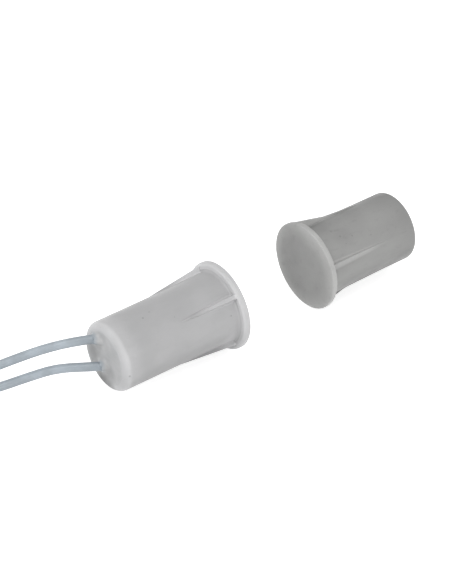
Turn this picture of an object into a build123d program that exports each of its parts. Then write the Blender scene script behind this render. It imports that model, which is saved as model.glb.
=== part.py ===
from build123d import *
import os
from math import cos, radians, sin, tan

# Recessed magnetic contact: a wired switch half and a magnet half, face to face on one axis.
# Millimetres. The X axis is the common axis and points from the switch to the magnet.
# The origin is the middle of the switch barrel's plain stretch, and Z is up.

# Outer form shared by the two halves
BARREL_RADIUS = 4.75  # plain stretch, for a 9.5 mm hole
BARREL_WALL = 1.05
ROOT_FLARE = 0.16  # the barrel grows by this from the plain stretch to the flange
FLANGE_OVERHANG = 1.3  # over the plain stretch
FLANGE_THICKNESS = 1.0
FLANGE_CROWN_DEPTH = 0.22  # the face curves back by this at its edge
FLANGE_CROWN_WIDTH = 1.3  # width of the curved border of the face
FLANGE_BACK_ROUND = 0.45  # rounded edge of the flange's back
FLANGE_ROOT_ROUND = 0.35  # hollow between the flange and the barrel
FACE_WALL = 1.3  # plastic between the face and the cavity
FACE_GAP = 13.4  # between the two faces

# Fins that taper from the flange down to the plain stretch, in height and in width.
# Every second fin of the magnet half and one fin of the switch half stand lower.
FIN_COUNT = 4
FIN_ROOT_WIDTH = 0.6  # width of the crest inside the flange
FIN_TIP_WIDTH = 0.16  # width of the crest where it has sunk into the barrel
FIN_DRAFT = 8.0  # lean of a fin's flanks, degrees
FIN_EDGE_ROUND = 0.06
FIN_SINK = 0.3  # how far a fin's foot reaches into the barrel's wall

# Switch half
SWITCH_FIN_LENGTH = 8.4
SWITCH_FIN_START = 45.0  # degrees about X from +Y
SWITCH_FIN_SETBACK = 0.35  # tip of a fin below the flange's edge
SWITCH_LOW_FIN = 2  # counted from the start angle
SWITCH_LOW_SETBACK = 0.55
SWITCH_RIM_FLAT = 0.15  # end of the wall inside its outer round

# Magnet half
MAGNET_GRIP_LENGTH = 4.05  # plain stretch
MAGNET_FIN_LENGTH = 10.0
MAGNET_FIN_START = 66.0
MAGNET_FIN_SETBACK = 0.08
MAGNET_LOW_SETBACK = 0.65
MAGNET_KNEE_LENGTH = 4.0  # from the flange to where a high fin turns shallow
MAGNET_KNEE_HEIGHT = 0.42  # over the plain stretch
MAGNET_RIM_FLAT = 0.45
MAGNET_CLEARANCE = 0.525  # between the magnet and the wall
MAGNET_LENGTH = 9.5
MAGNET_EDGE = 0.3

# Resin in both barrels
RESIN_RIM_DEPTH = 0.03  # below the rear rim where the resin meets the wall
RESIN_DISH_DEPTH = 0.15  # further down on the axis
COLLAR_SPREAD = 0.55  # foot of the resin collar round a wire, past the wire
COLLAR_LIP = 0.1  # thickness of the collar's edge on the wire
COLLAR_HEIGHT = 0.5
COLLAR_SINK = 0.5

# Reed switch. The loop plane holds the glass and the lead that comes back past it.
LOOP_ANGLE = 66.0  # degrees about X from +Y
GLASS_OFFSET = 0.9  # glass axis from the barrel's axis
GLASS_LENGTH = 10.0
GLASS_RADIUS = 0.95
GLASS_WALL = 0.3
GLASS_SEAL = 1.1  # solid glass at each end
GLASS_END_ROUND = 0.45
LEAD_RADIUS = 0.25
LEAD_INSIDE = 0.4  # round lead past the seal, before the blade
BLADE_THICKNESS = 0.2
BLADE_CLEARANCE = 0.15  # between a blade's edge and the glass
BLADE_OVERLAP = 1.0
BLADE_GAP = 0.03
BEND_CLEARANCE = 0.35  # between the front lead's bend and the face wall
FRONT_LEAD_LENGTH = 0.65  # straight lead between the bend and the glass
REAR_LEAD_LENGTH = 1.7  # past the glass
SLEEVE_WALL = 0.25
SLEEVE_SHORT = 0.3  # the sleeve stops this far inside each end of the glass
RETURN_SLEEVE_WALL = 0.2
LOOP_CLEARANCE = 0.45  # between the two sleeves

# Solder joints
CONDUCTOR_RADIUS = 0.3
LAP_LENGTH = 1.0  # conductor beside the lead
SOLDER_COVER = 0.1  # solder over the lead and the conductor
SOLDER_END = 0.2  # solder past each end of the lap
JOINT_ROUND = 0.4
WIRE_ANCHOR = 3.35  # from the end of the lap to the rear end of the barrel

# Wires and their put-away length
WIRE_RADIUS = 0.6
LAYER_GAP = 0.02
HANK_LAYERS = 4
HANK_LENGTH = 34.0
HANK_REACH = 33.075  # middle of the hank behind the rear end of the barrel
HANK_Y = 3.9
LANE_RADIUS = 4.85  # middle of the outermost strand at a loop
LANE_CLEARANCE = 0.05
WAIST_LANES = 4  # strands side by side under the tie
FLARE_ANGLE = 60.0  # where the sides leave a loop, degrees from the hank's line
TIE_WIDTH = 2.5
TIE_THICKNESS = 0.5
TIE_CLEARANCE = 0.45  # straight waist on each side of the tie
TIE_HEAD_LENGTH = 3.2  # along the hank
TIE_HEAD_WIDTH = 3.4
TIE_HEAD_HEIGHT = 1.6
TIN_COVER = 0.08  # tin over the bare strands
TIP_LENGTH = 6.0

# Sizes worked out from the others
CAVITY_RADIUS = BARREL_RADIUS - BARREL_WALL
ROOT_RADIUS = BARREL_RADIUS + ROOT_FLARE
FLANGE_RADIUS = BARREL_RADIUS + FLANGE_OVERHANG
SWITCH_REAR_ROUND = BARREL_WALL - SWITCH_RIM_FLAT
MAGNET_REAR_ROUND = BARREL_WALL - MAGNET_RIM_FLAT
MAGNET_RADIUS = CAVITY_RADIUS - MAGNET_CLEARANCE
GLASS_BORE_RADIUS = GLASS_RADIUS - GLASS_WALL
BLADE_WIDTH = 2 * (GLASS_BORE_RADIUS - BLADE_CLEARANCE)
SLEEVES_APART = GLASS_RADIUS + SLEEVE_WALL + LOOP_CLEARANCE + RETURN_SLEEVE_WALL + LEAD_RADIUS
RETURN_OFFSET = SLEEVES_APART - GLASS_OFFSET  # returning lead from the barrel's axis
JOINT_RADIUS = LEAD_RADIUS + CONDUCTOR_RADIUS + SOLDER_COVER
JOINT_LENGTH = LAP_LENGTH + 2 * SOLDER_END
LAYER_PITCH = 2 * WIRE_RADIUS + LAYER_GAP
HANK_HEIGHT = 2 * WIRE_RADIUS + (HANK_LAYERS - 1) * LAYER_PITCH
WAIST_HALF_WIDTH = WAIST_LANES / 2 * (2 * WIRE_RADIUS + LANE_CLEARANCE)
WAIST_LENGTH = TIE_WIDTH + 2 * TIE_CLEARANCE
TIP_RADIUS = CONDUCTOR_RADIUS + TIN_COVER

# Depths behind the switch half's face
FRONT_BEND_START = FACE_WALL + BEND_CLEARANCE + LEAD_RADIUS + SLEEVES_APART / 2
GLASS_START = FRONT_BEND_START + FRONT_LEAD_LENGTH
GLASS_END = GLASS_START + GLASS_LENGTH
GLASS_MIDDLE = GLASS_START + GLASS_LENGTH / 2
LAP_END = GLASS_END + REAR_LEAD_LENGTH
LAP_START = LAP_END - LAP_LENGTH
JOINT_START = LAP_START - SOLDER_END
SWITCH_LENGTH = LAP_END + WIRE_ANCHOR
SWITCH_SEAT = FLANGE_THICKNESS + SWITCH_FIN_LENGTH  # where the plain stretch starts

# Places on the X axis
SWITCH_GRIP_LENGTH = SWITCH_LENGTH - SWITCH_SEAT - SWITCH_REAR_ROUND  # plain stretch
SWITCH_FACE_X = SWITCH_GRIP_LENGTH / 2 + SWITCH_SEAT
REAR_X = SWITCH_FACE_X - SWITCH_LENGTH
HANK_X = REAR_X - HANK_REACH
MAGNET_FACE_X = SWITCH_FACE_X + FACE_GAP
MAGNET_HALF_LENGTH = FLANGE_THICKNESS + MAGNET_FIN_LENGTH + MAGNET_GRIP_LENGTH + MAGNET_REAR_ROUND

FLOOR_Z = -FLANGE_RADIUS
WIRE_LOW_Z = FLOOR_Z + WIRE_RADIUS  # middle of a wire that lies on the floor

# Crest lines of the fins: distance from the flange's back, height over the plain stretch
SWITCH_HIGH_CREST = [(0, FLANGE_OVERHANG - SWITCH_FIN_SETBACK), (SWITCH_FIN_LENGTH, 0)]
SWITCH_LOW_CREST = [(0, FLANGE_OVERHANG - SWITCH_LOW_SETBACK), (SWITCH_FIN_LENGTH, 0)]
MAGNET_LOW_CREST = [(0, FLANGE_OVERHANG - MAGNET_LOW_SETBACK), (MAGNET_FIN_LENGTH, 0)]
MAGNET_HIGH_CREST = [
    (0, FLANGE_OVERHANG - MAGNET_FIN_SETBACK),
    (MAGNET_KNEE_LENGTH, MAGNET_KNEE_HEIGHT),
    (MAGNET_FIN_LENGTH, 0),
]


def from_rear(points):
    """A route whose points are given by their place from the barrel's rear end, y and z."""
    return [(REAR_X + x, y, z) for x, y, z in points]


def from_hank(points):
    """A route whose points are given by their place from the hank's middle, y and z."""
    return [(HANK_X + x, y, z) for x, y, z in points]


# Routes from the solder joints to the hank. Wire A is the upper one.
WIRE_A_ROUTE = from_rear([
    (1.575, 0.95, 2.15),
    (-2.225, 2.95, 2.02),
    (-6.025, 4.8, 1.42),
    (-9.225, 6.6, 0.2),
    (-12.725, 8.2, -0.95),
    (-16.625, 8.95, -1.65),
    (-20.225, 8.75, -1.95),
    (-23.525, 8.0, -2.05),
])
WIRE_B_ROUTE = from_rear([
    (1.575, -0.8, -1.3),
    (-1.525, 1.5, -1.55),
    (-4.725, 4.0, -1.8),
    (-8.325, 5.25, -2.3),
    (-12.325, 6.3, -2.75),
    (-16.125, 7.7, -2.9),
    (-19.925, 8.4, -2.93),
    (-23.525, 7.9, -2.91),
])
# Routes of the two ends, from the hank and along its side on the floor.
TAIL_A_ROUTE = from_hank([
    (-13.25, -0.25, -4.13),
    (-10.05, -1.15, -4.1),
    (-6.75, -2.45, -4.25),
    (-3.65, -3.35, -4.9),
    (-0.65, -3.6, WIRE_LOW_Z),
    (2.35, -3.65, WIRE_LOW_Z),
])
TAIL_B_ROUTE = from_hank([
    (-13.45, -0.25, -5.2),
    (-9.25, -1.2, WIRE_LOW_Z),
    (-5.05, -1.9, WIRE_LOW_Z),
    (-1.05, -2.2, WIRE_LOW_Z),
    (2.35, -2.25, WIRE_LOW_Z),
])


def revolved(outline, rounds=()):
    """A solid of revolution about X from a closed outline, with some of its corners rounded."""
    face = make_face(outline)
    for corner, radius in rounds:
        vertex = face.vertices().sort_by_distance((*corner, 0))[0]
        face = fillet(vertex, radius)
    return revolve(face, axis=Axis.X, revolution_arc=360)


def fin_section(x, height, width):
    """A fin's section across the X axis, narrow at the crest and wider at the foot."""
    low, tip = BARREL_RADIUS - FIN_SINK, BARREL_RADIUS + height
    crest = width / 2
    foot = crest + (tip - low) * tan(radians(FIN_DRAFT))
    outline = Polyline((low, -foot), (tip, -crest), (tip, crest), (low, foot), close=True)
    return Plane(origin=(x, 0, 0), x_dir=(0, 1, 0), z_dir=(1, 0, 0)) * make_face(outline)


def carried_on(crest):
    """A fin's crest line, carried on into the flange at one end and under the wall at the other."""
    (start, high), (knee, lower) = crest[:2]
    (before, upper), (end, low) = crest[-2:]
    inside, under = FLANGE_THICKNESS / 2, FIN_SINK / 2
    first = (start - inside, high + inside * (high - lower) / (knee - start))
    last = (end + under * (end - before) / (upper - low), low - under)
    return [first, *crest[1:-1], last]


def fin(seat_x, side, crest, angle):
    """One fin along its crest line, turned about the X axis."""
    line = carried_on(crest)
    first, last = line[0][0], line[-1][0]
    narrowing = (FIN_ROOT_WIDTH - FIN_TIP_WIDTH) / (last - first)
    sections = [
        fin_section(seat_x + side * along, height, FIN_TIP_WIDTH + narrowing * (last - along))
        for along, height in line
    ]
    wedge = loft(sections, ruled=True)
    lengthwise = wedge.edges().filter_by(lambda edge: abs((edge @ 1 - edge @ 0).X) > FIN_EDGE_ROUND)
    corners = lengthwise.filter_by(lambda edge: edge.center().Y > BARREL_RADIUS)
    return Rot(angle, 0, 0) * fillet(corners, FIN_EDGE_ROUND)


def housing(face_x, side, fin_length, grip_length, rear_round, fins, fin_start):
    """A moulded cup: flange and closed face at one end, open and rounded at the other."""
    length = FLANGE_THICKNESS + fin_length + grip_length + rear_round
    cone_end = FLANGE_THICKNESS + fin_length

    def place(depth, radius):
        return (face_x + side * depth, radius)

    # a quarter of an ellipse, turned to the side that the face looks to
    crown = EllipticalCenterArc(
        place(FLANGE_CROWN_DEPTH, FLANGE_RADIUS - FLANGE_CROWN_WIDTH),
        FLANGE_CROWN_DEPTH, FLANGE_CROWN_WIDTH, start_angle=45 * (1 + side), arc_size=90,
    )
    back_edge = place(FLANGE_THICKNESS, FLANGE_RADIUS)
    root = place(FLANGE_THICKNESS, ROOT_RADIUS)
    rear_edge = place(length, BARREL_RADIUS)
    walls = Polyline(
        place(FLANGE_CROWN_DEPTH, FLANGE_RADIUS),
        back_edge,
        root,
        place(cone_end, BARREL_RADIUS),
        rear_edge,
        place(length, CAVITY_RADIUS),
        place(FACE_WALL, CAVITY_RADIUS),
        place(FACE_WALL, 0),
        place(0, 0),
        place(0, FLANGE_RADIUS - FLANGE_CROWN_WIDTH),
    )
    rounds = [(back_edge, FLANGE_BACK_ROUND), (root, FLANGE_ROOT_ROUND), (rear_edge, rear_round)]
    shell = revolved([crown, *walls.edges()], rounds)
    seat_x = face_x + side * FLANGE_THICKNESS
    for number, crest in enumerate(fins):
        shell += fin(seat_x, side, crest, fin_start + number * 360 / len(fins))
    return shell


def resin_fill(face_x, side, length):
    """Resin that fills a barrel's cavity and sinks a little at its open end."""

    def place(depth, radius):
        return (face_x + side * depth, radius)

    rim, middle = length - RESIN_RIM_DEPTH, length - RESIN_RIM_DEPTH - RESIN_DISH_DEPTH
    halfway = middle + RESIN_DISH_DEPTH / 4
    dish = ThreePointArc(
        place(middle, 0), place(halfway, CAVITY_RADIUS / 2), place(rim, CAVITY_RADIUS)
    )
    walls = Polyline(
        place(rim, CAVITY_RADIUS), place(FACE_WALL, CAVITY_RADIUS), place(FACE_WALL, 0), place(middle, 0)
    )
    return revolved([dish, *walls.edges()])


def rod(start, end, radius):
    """A round rod between two points."""
    start, end = Vector(*start), Vector(*end)
    across = Plane(origin=start, z_dir=end - start)
    return extrude(across * Circle(radius), (end - start).length)


def arc_radii(route):
    """Each corner's arc: 0.45 of the shorter run beside it, over the tangent of half the turn."""
    points = [Vector(*point) for point in route]
    radii = []
    for before, corner, after in zip(points, points[1:], points[2:]):
        turn = (corner - before).get_angle(after - corner)
        shorter = min((corner - before).length, (after - corner).length)
        radii.append(0.45 * shorter / tan(radians(turn / 2)))
    return radii


def tube(name, route):
    """A wire's tube along straight runs joined by tangent arcs."""
    radii = arc_radii(route)
    path = FilletPolyline(*route, radius=radii)
    solid = sweep(Plane(origin=path @ 0, z_dir=path % 0) * Circle(WIRE_RADIUS), path=path)
    print(f"{name}: length {path.length:.1f} mm, arc radii", [round(radius, 1) for radius in radii])
    return solid


# Reed switch, in the loop plane: x runs back from the face, y points from the axis to the glass
loop_turn = radians(LOOP_ANGLE)
LOOP_PLANE = Plane(
    origin=(SWITCH_FACE_X, 0, 0), x_dir=(-1, 0, 0), z_dir=(0, sin(loop_turn), -cos(loop_turn))
)


def in_loop(depth, across):
    """A point of the loop plane in the part's own frame."""
    return LOOP_PLANE.from_local_coords(Vector(depth, across, 0))


def loop_rod(start, end, across, radius):
    """A rod that runs straight back in the loop plane."""
    return rod(in_loop(start, across), in_loop(end, across), radius)


def blade(start, end, side):
    """A flat reed blade on one side of the contact gap."""
    across = GLASS_OFFSET + side * (BLADE_GAP + BLADE_THICKNESS) / 2
    flat = Box(end - start, BLADE_THICKNESS, BLADE_WIDTH)
    return LOOP_PLANE.location * Pos((start + end) / 2, across, 0) * flat


def reed_front():
    """The front blade and its lead, which turns back and runs past the glass."""
    seal_end = GLASS_START + GLASS_SEAL + LEAD_INSIDE
    bend = SLEEVES_APART / 2
    middle = (GLASS_OFFSET - RETURN_OFFSET) / 2
    path = Line(in_loop(seal_end, GLASS_OFFSET), in_loop(FRONT_BEND_START, GLASS_OFFSET))
    path += ThreePointArc(
        in_loop(FRONT_BEND_START, GLASS_OFFSET),
        in_loop(FRONT_BEND_START - bend, middle),
        in_loop(FRONT_BEND_START, -RETURN_OFFSET),
    )
    path += Line(
        in_loop(FRONT_BEND_START, -RETURN_OFFSET), in_loop(LAP_END, -RETURN_OFFSET)
    )
    start = Plane(origin=in_loop(seal_end, GLASS_OFFSET), z_dir=(1, 0, 0))
    lead = sweep(start * Circle(LEAD_RADIUS), path=path)
    return lead + blade(seal_end - LEAD_INSIDE / 2, GLASS_MIDDLE + BLADE_OVERLAP / 2, 1)


def reed_rear():
    """The rear blade and its straight lead."""
    seal_end = GLASS_END - GLASS_SEAL - LEAD_INSIDE
    lead = loop_rod(seal_end, LAP_END, GLASS_OFFSET, LEAD_RADIUS)
    return lead + blade(GLASS_MIDDLE - BLADE_OVERLAP / 2, seal_end + LEAD_INSIDE / 2, -1)


def glass_outside():
    """The outer form of the glass, with rounded ends."""
    capsule = loop_rod(GLASS_START, GLASS_END, GLASS_OFFSET, GLASS_RADIUS)
    return fillet(capsule.edges().filter_by(GeomType.CIRCLE), GLASS_END_ROUND)


def glass_bore():
    """The hollow between the two seals of the glass."""
    return loop_rod(
        GLASS_START + GLASS_SEAL, GLASS_END - GLASS_SEAL, GLASS_OFFSET, GLASS_BORE_RADIUS
    )


def sleeve(start, end, across, bore, wall):
    """A soft tube round the glass or a lead."""
    return loop_rod(start, end, across, bore + wall) - loop_rod(start, end, across, bore)


def lap_side(across, route):
    """The direction, across the axis, from a lead to where its wire starts."""
    lead = in_loop(0, across)
    return Vector(0, route[0][1] - lead.Y, route[0][2] - lead.Z).normalized()


def conductor(across, route, wire):
    """A wire's bare core: beside the lead in the joint, then out to the insulation."""
    aside = lap_side(across, route) * (LEAD_RADIUS + CONDUCTOR_RADIUS)
    lap = [in_loop(depth, across) + aside for depth in (LAP_START, LAP_END)]
    path = FilletPolyline(*lap, Vector(*route[0]), radius=[CONDUCTOR_RADIUS * 2])
    core = sweep(Plane(origin=path @ 0, z_dir=path % 0) * Circle(CONDUCTOR_RADIUS), path=path)
    return core - wire


def joint(across, route, lead, core):
    """The solder bead round a lead and a conductor."""
    aside = lap_side(across, route) * (CONDUCTOR_RADIUS / 2 + LEAD_RADIUS / 2)
    ends = [in_loop(depth, across) + aside for depth in (JOINT_START, JOINT_START + JOINT_LENGTH)]
    bead = rod(*ends, JOINT_RADIUS)
    bead = fillet(bead.edges().filter_by(GeomType.CIRCLE), JOINT_ROUND)
    return bead - lead - core


def collar(route):
    """Resin drawn up round a wire where it leaves the barrel."""
    start, onward = Vector(*route[0]), Vector(*route[1]) - Vector(*route[0])
    leaves = start + onward * ((REAR_X - start.X) / onward.X)
    foot = leaves - onward.normalized() * COLLAR_SINK
    height = COLLAR_SINK + COLLAR_HEIGHT
    low = (Align.CENTER, Align.CENTER, Align.MIN)
    cone = Cone(WIRE_RADIUS + COLLAR_SPREAD, WIRE_RADIUS + COLLAR_LIP, height, align=low)
    return Plane(origin=foot, z_dir=onward).location * cone


def potting(inside):
    """The switch half's resin, with a collar round each wire, less all that it holds."""
    fill = resin_fill(SWITCH_FACE_X, -1, SWITCH_LENGTH)
    opening = rod((REAR_X + COLLAR_SINK * 2, 0, 0), (REAR_X - COLLAR_HEIGHT * 2, 0, 0), CAVITY_RADIUS)
    collars = [collar(route) & opening for route in (WIRE_A_ROUTE, WIRE_B_ROUTE)]
    for piece in collars:
        fill += piece
    for piece in inside:
        fill -= piece
    return fill


def bar_magnet():
    """A round bar magnet that rests against the inside of its face."""
    start = MAGNET_FACE_X + FACE_WALL
    bar = rod((start, 0, 0), (start + MAGNET_LENGTH, 0, 0), MAGNET_RADIUS)
    return chamfer(bar.edges().filter_by(GeomType.CIRCLE), MAGNET_EDGE)


def wire_hank():
    """The outer shape of the folded wires: a loop at each end and a waist lifted by the tie."""
    loop_radius = LANE_RADIUS + WIRE_RADIUS
    loop_x = HANK_LENGTH / 2 - loop_radius
    flare = radians(FLARE_ANGLE)
    flare_x, flare_y = loop_x - loop_radius * cos(flare), loop_radius * sin(flare)
    quarter = [(WAIST_LENGTH / 2, WAIST_HALF_WIDTH), (flare_x, flare_y)]
    corners = quarter + [(x, -y) for x, y in reversed(quarter)]
    corners += [(-x, -y) for x, y in quarter] + [(-x, y) for x, y in reversed(quarter)]
    body = extrude(make_face(Polyline(*corners, close=True)), HANK_HEIGHT)
    for x in (loop_x, -loop_x):
        body += Pos(x, 0, 0) * extrude(Circle(loop_radius), HANK_HEIGHT)
    strap = extrude(Rectangle(TIE_WIDTH, WAIST_HALF_WIDTH * 2), TIE_THICKNESS)
    return Pos(HANK_X, HANK_Y, FLOOR_Z) * (body - strap + Pos(0, 0, HANK_HEIGHT) * strap)


def hank_tie():
    """A strap round the waist of the hank, with its head on top."""
    outer_height = HANK_HEIGHT + TIE_THICKNESS * 2
    outer_width = (WAIST_HALF_WIDTH + TIE_THICKNESS) * 2
    low = (Align.CENTER, Align.CENTER, Align.MIN)
    band = Box(TIE_WIDTH, outer_width, outer_height, align=low)
    band = fillet(band.edges().filter_by(Axis.X), TIE_THICKNESS * 0.9)
    band -= Pos(0, 0, TIE_THICKNESS) * Box(TIE_WIDTH, WAIST_HALF_WIDTH * 2, HANK_HEIGHT, align=low)
    head = Box(TIE_HEAD_LENGTH, TIE_HEAD_WIDTH, TIE_HEAD_HEIGHT, align=low)
    head = fillet(head.edges().filter_by(Axis.Z), TIE_THICKNESS)
    head_z = outer_height - TIE_THICKNESS / 2
    return Pos(HANK_X, HANK_Y, FLOOR_Z) * (band + Pos(0, 0, head_z) * head)


def tip(route):
    """The tinned end of a wire, in line with its last run."""
    end = Vector(*route[-1])
    onward = (end - Vector(*route[-2])).normalized()
    return rod(end, end + onward * TIP_LENGTH, TIP_RADIUS)


def build():
    """Every piece of the part by name."""
    front, rear = reed_front(), reed_rear()
    glass = glass_outside() - glass_bore() - front - rear
    hank = wire_hank()
    wire_a, wire_b = tube("wire A", WIRE_A_ROUTE) - hank, tube("wire B", WIRE_B_ROUTE) - hank
    core_a = conductor(GLASS_OFFSET, WIRE_A_ROUTE, wire_a)
    core_b = conductor(-RETURN_OFFSET, WIRE_B_ROUTE, wire_b)
    sealed = {
        "capsule_glass": glass,
        "reed_front": front,
        "reed_rear": rear,
        "capsule_sleeve": sleeve(
            GLASS_START + SLEEVE_SHORT, GLASS_END - SLEEVE_SHORT, GLASS_OFFSET, GLASS_RADIUS, SLEEVE_WALL
        ),
        "return_sleeve": sleeve(
            FRONT_BEND_START, JOINT_START, -RETURN_OFFSET, LEAD_RADIUS, RETURN_SLEEVE_WALL
        ),
        "conductor_a": core_a,
        "conductor_b": core_b,
        "solder_joint_a": joint(GLASS_OFFSET, WIRE_A_ROUTE, rear, core_a),
        "solder_joint_b": joint(-RETURN_OFFSET, WIRE_B_ROUTE, front, core_b),
    }
    magnet = bar_magnet()
    switch_fins = [SWITCH_HIGH_CREST] * FIN_COUNT
    switch_fins[SWITCH_LOW_FIN] = SWITCH_LOW_CREST
    magnet_fins = [(MAGNET_HIGH_CREST, MAGNET_LOW_CREST)[number % 2] for number in range(FIN_COUNT)]
    return {
        **sealed,
        "wire_a": wire_a,
        "wire_b": wire_b,
        "wire_hank": hank,
        "hank_tie": hank_tie(),
        "tail_a": tube("tail A", TAIL_A_ROUTE) - hank,
        "tail_b": tube("tail B", TAIL_B_ROUTE) - hank,
        "tip_a": tip(TAIL_A_ROUTE),
        "tip_b": tip(TAIL_B_ROUTE),
        "potting": potting([*sealed.values(), glass_outside(), wire_a, wire_b]),
        "switch_housing": housing(
            SWITCH_FACE_X, -1, SWITCH_FIN_LENGTH, SWITCH_GRIP_LENGTH, SWITCH_REAR_ROUND,
            switch_fins, SWITCH_FIN_START,
        ),
        "magnet_housing": housing(
            MAGNET_FACE_X, 1, MAGNET_FIN_LENGTH, MAGNET_GRIP_LENGTH, MAGNET_REAR_ROUND,
            magnet_fins, MAGNET_FIN_START,
        ),
        "bar_magnet": magnet,
        "magnet_potting": resin_fill(MAGNET_FACE_X, 1, MAGNET_HALF_LENGTH) - magnet,
    }


os.makedirs("parts", exist_ok=True)
for name, shape in build().items():
    export_step(shape, f"parts/{name}.step")
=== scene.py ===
"""The looks of a recessed magnetic contact: a wired switch half and a magnet half on one axis.

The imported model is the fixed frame. Its X axis is the common axis, from the switch to the magnet,
and Z is up.
"""

from math import cos, exp, hypot, pi, radians, sin, tau

import bmesh
import bpy
from bpy.props import FloatProperty, FloatVectorProperty, IntProperty, PointerProperty
from bpy.types import Operator, Panel, PropertyGroup
from mathutils import Matrix, Vector, noise


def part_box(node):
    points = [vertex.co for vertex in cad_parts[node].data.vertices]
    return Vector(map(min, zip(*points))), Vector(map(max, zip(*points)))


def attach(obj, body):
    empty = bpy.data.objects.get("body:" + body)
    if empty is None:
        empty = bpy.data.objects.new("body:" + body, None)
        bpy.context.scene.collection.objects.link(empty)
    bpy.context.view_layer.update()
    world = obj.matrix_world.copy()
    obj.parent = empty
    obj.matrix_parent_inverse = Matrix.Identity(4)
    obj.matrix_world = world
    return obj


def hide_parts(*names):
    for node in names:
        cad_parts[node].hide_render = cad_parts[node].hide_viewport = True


bl_info = {
    "name": "Recessed magnetic contact",
    "version": (1, 0, 0),
    "blender": (4, 5, 0),
    "location": "3D View > Sidebar > Contact",
    "description": "Finishes and soft parts of a recessed magnetic contact",
    "category": "Object",
}

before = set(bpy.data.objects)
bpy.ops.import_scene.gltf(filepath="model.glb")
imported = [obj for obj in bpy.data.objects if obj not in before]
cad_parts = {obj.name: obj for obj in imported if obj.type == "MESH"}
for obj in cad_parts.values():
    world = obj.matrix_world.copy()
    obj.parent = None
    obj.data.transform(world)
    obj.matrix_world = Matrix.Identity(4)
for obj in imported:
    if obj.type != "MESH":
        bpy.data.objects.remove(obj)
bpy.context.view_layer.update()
MM = 0.001

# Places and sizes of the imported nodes, in metres
SWITCH_LOW, SWITCH_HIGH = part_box("switch_housing")
MAGNET_LOW, MAGNET_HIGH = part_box("magnet_housing")
RESIN_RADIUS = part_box("magnet_potting")[1].y
HANK_LOW, HANK_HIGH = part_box("wire_hank")
TIE_LOW, TIE_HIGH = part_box("hank_tie")
FLOOR_Z = SWITCH_LOW.z
WIRE_DIAMETER = 1.2 * MM
FLANGE_MIDDLE = 0.5  # how far the flange's middle lies behind its face, in millimetres

# Routes of the wires outside the hank, in metres. Wire A is the upper one.
WIRE_A_LEAD = [
    (-0.0035, 0.00095, 0.00215),
    (-0.0073, 0.00295, 0.00202),
    (-0.0111, 0.0048, 0.00142),
    (-0.0143, 0.0066, 0.0002),
    (-0.0178, 0.0082, -0.00095),
    (-0.0217, 0.00895, -0.00165),
]
WIRE_B_LEAD = [
    (-0.0035, -0.0008, -0.0013),
    (-0.0066, 0.0015, -0.00155),
    (-0.0098, 0.004, -0.0018),
    (-0.0134, 0.00525, -0.0023),
    (-0.0174, 0.0063, -0.00275),
    (-0.0212, 0.0077, -0.0029),
]
WIRE_A_TAIL = [
    (-0.0482, -0.00115, -0.0041),
    (-0.0449, -0.00245, -0.00425),
    (-0.0418, -0.00335, -0.0049),
    (-0.0388, -0.0036, -0.00545),
    (-0.0358, -0.00365, -0.00545),
]
WIRE_B_TAIL = [
    (-0.0474, -0.0012, -0.00545),
    (-0.0432, -0.0019, -0.00545),
    (-0.0392, -0.0022, -0.00545),
    (-0.0358, -0.00225, -0.00545),
]


# Marks and painted shade: a place and a size in millimetres, and the factor that darkens the tone
# there


def on_barrel(x, angle, size, factor, radius=4.8):
    """A mark on a barrel, at a place along the axis and an angle about it from +Y."""
    turn = radians(angle)
    return (x, radius * cos(turn), radius * sin(turn)), size, factor


# Small marks on the two halves
SWITCH_SPOTS = [
    on_barrel(0.1, 103.4, 0.16, 0.62),
    on_barrel(1.39, 97.9, 0.14, 0.7),
    on_barrel(-4.6, 182.2, 0.2, 0.72, 4.6),
    on_barrel(11.41, 158.5, 0.16, 0.5),
    on_barrel(12.5, 163.4, 0.14, 0.55),
]
MAGNET_SPOTS = [
    on_barrel(31.2, 118, 0.2, 0.82),
    on_barrel(32.85, 124.7, 0.16, 0.8),
    on_barrel(35.53, 135.8, 0.12, 0.75),
    on_barrel(31.44, 132.1, 0.12, 0.78),
    on_barrel(30.59, 103.7, 0.26, 0.86),
]

# Painted shadows and shade on the switch half's rear end, on its plastic and its resin: the wires'
# shadows, contact shade at their roots and shade along the rim's lower side
REAR_PAINTED_SHADE = [
    ((-5.1, 0.7, -4.6), 2.5, 0.42),
    ((-4.9, -3.2, -1.6), 2.6, 0.92),
    ((-5.1, -0.8, -1.9), 1.7, 0.74),
    ((-5.1, 2.9, -0.7), 1.9, 0.8),
    ((-5.3, 1.45, 1.4), 1.1, 0.76),
    ((-5.2, 1.0, -2.3), 0.55, 0.65),
    ((-5.3, 0.7, -0.9), 0.16, 0.6),
    ((-5.2, 0.3, -2.9), 1.7, 0.87),
    ((-5.1, -1.2, -3.9), 1.2, 0.7),
    ((-5.2, 1.9, 0.0), 1.9, 0.84),
]

# Wide faint painted shade on the magnet half: near its face's lower edge and on the upper side of
# its barrel
MAGNET_PAINTED_SHADE = [
    ((26.98, 4.6, -4.2), 2.2, 0.93),
    on_barrel(29.6, 84, 2.2, 0.9),
    on_barrel(31.6, 118, 1.9, 0.93),
    on_barrel(35.4, 70, 2.6, 0.92),
    on_barrel(39.6, 62, 2.6, 0.93),
]
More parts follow.
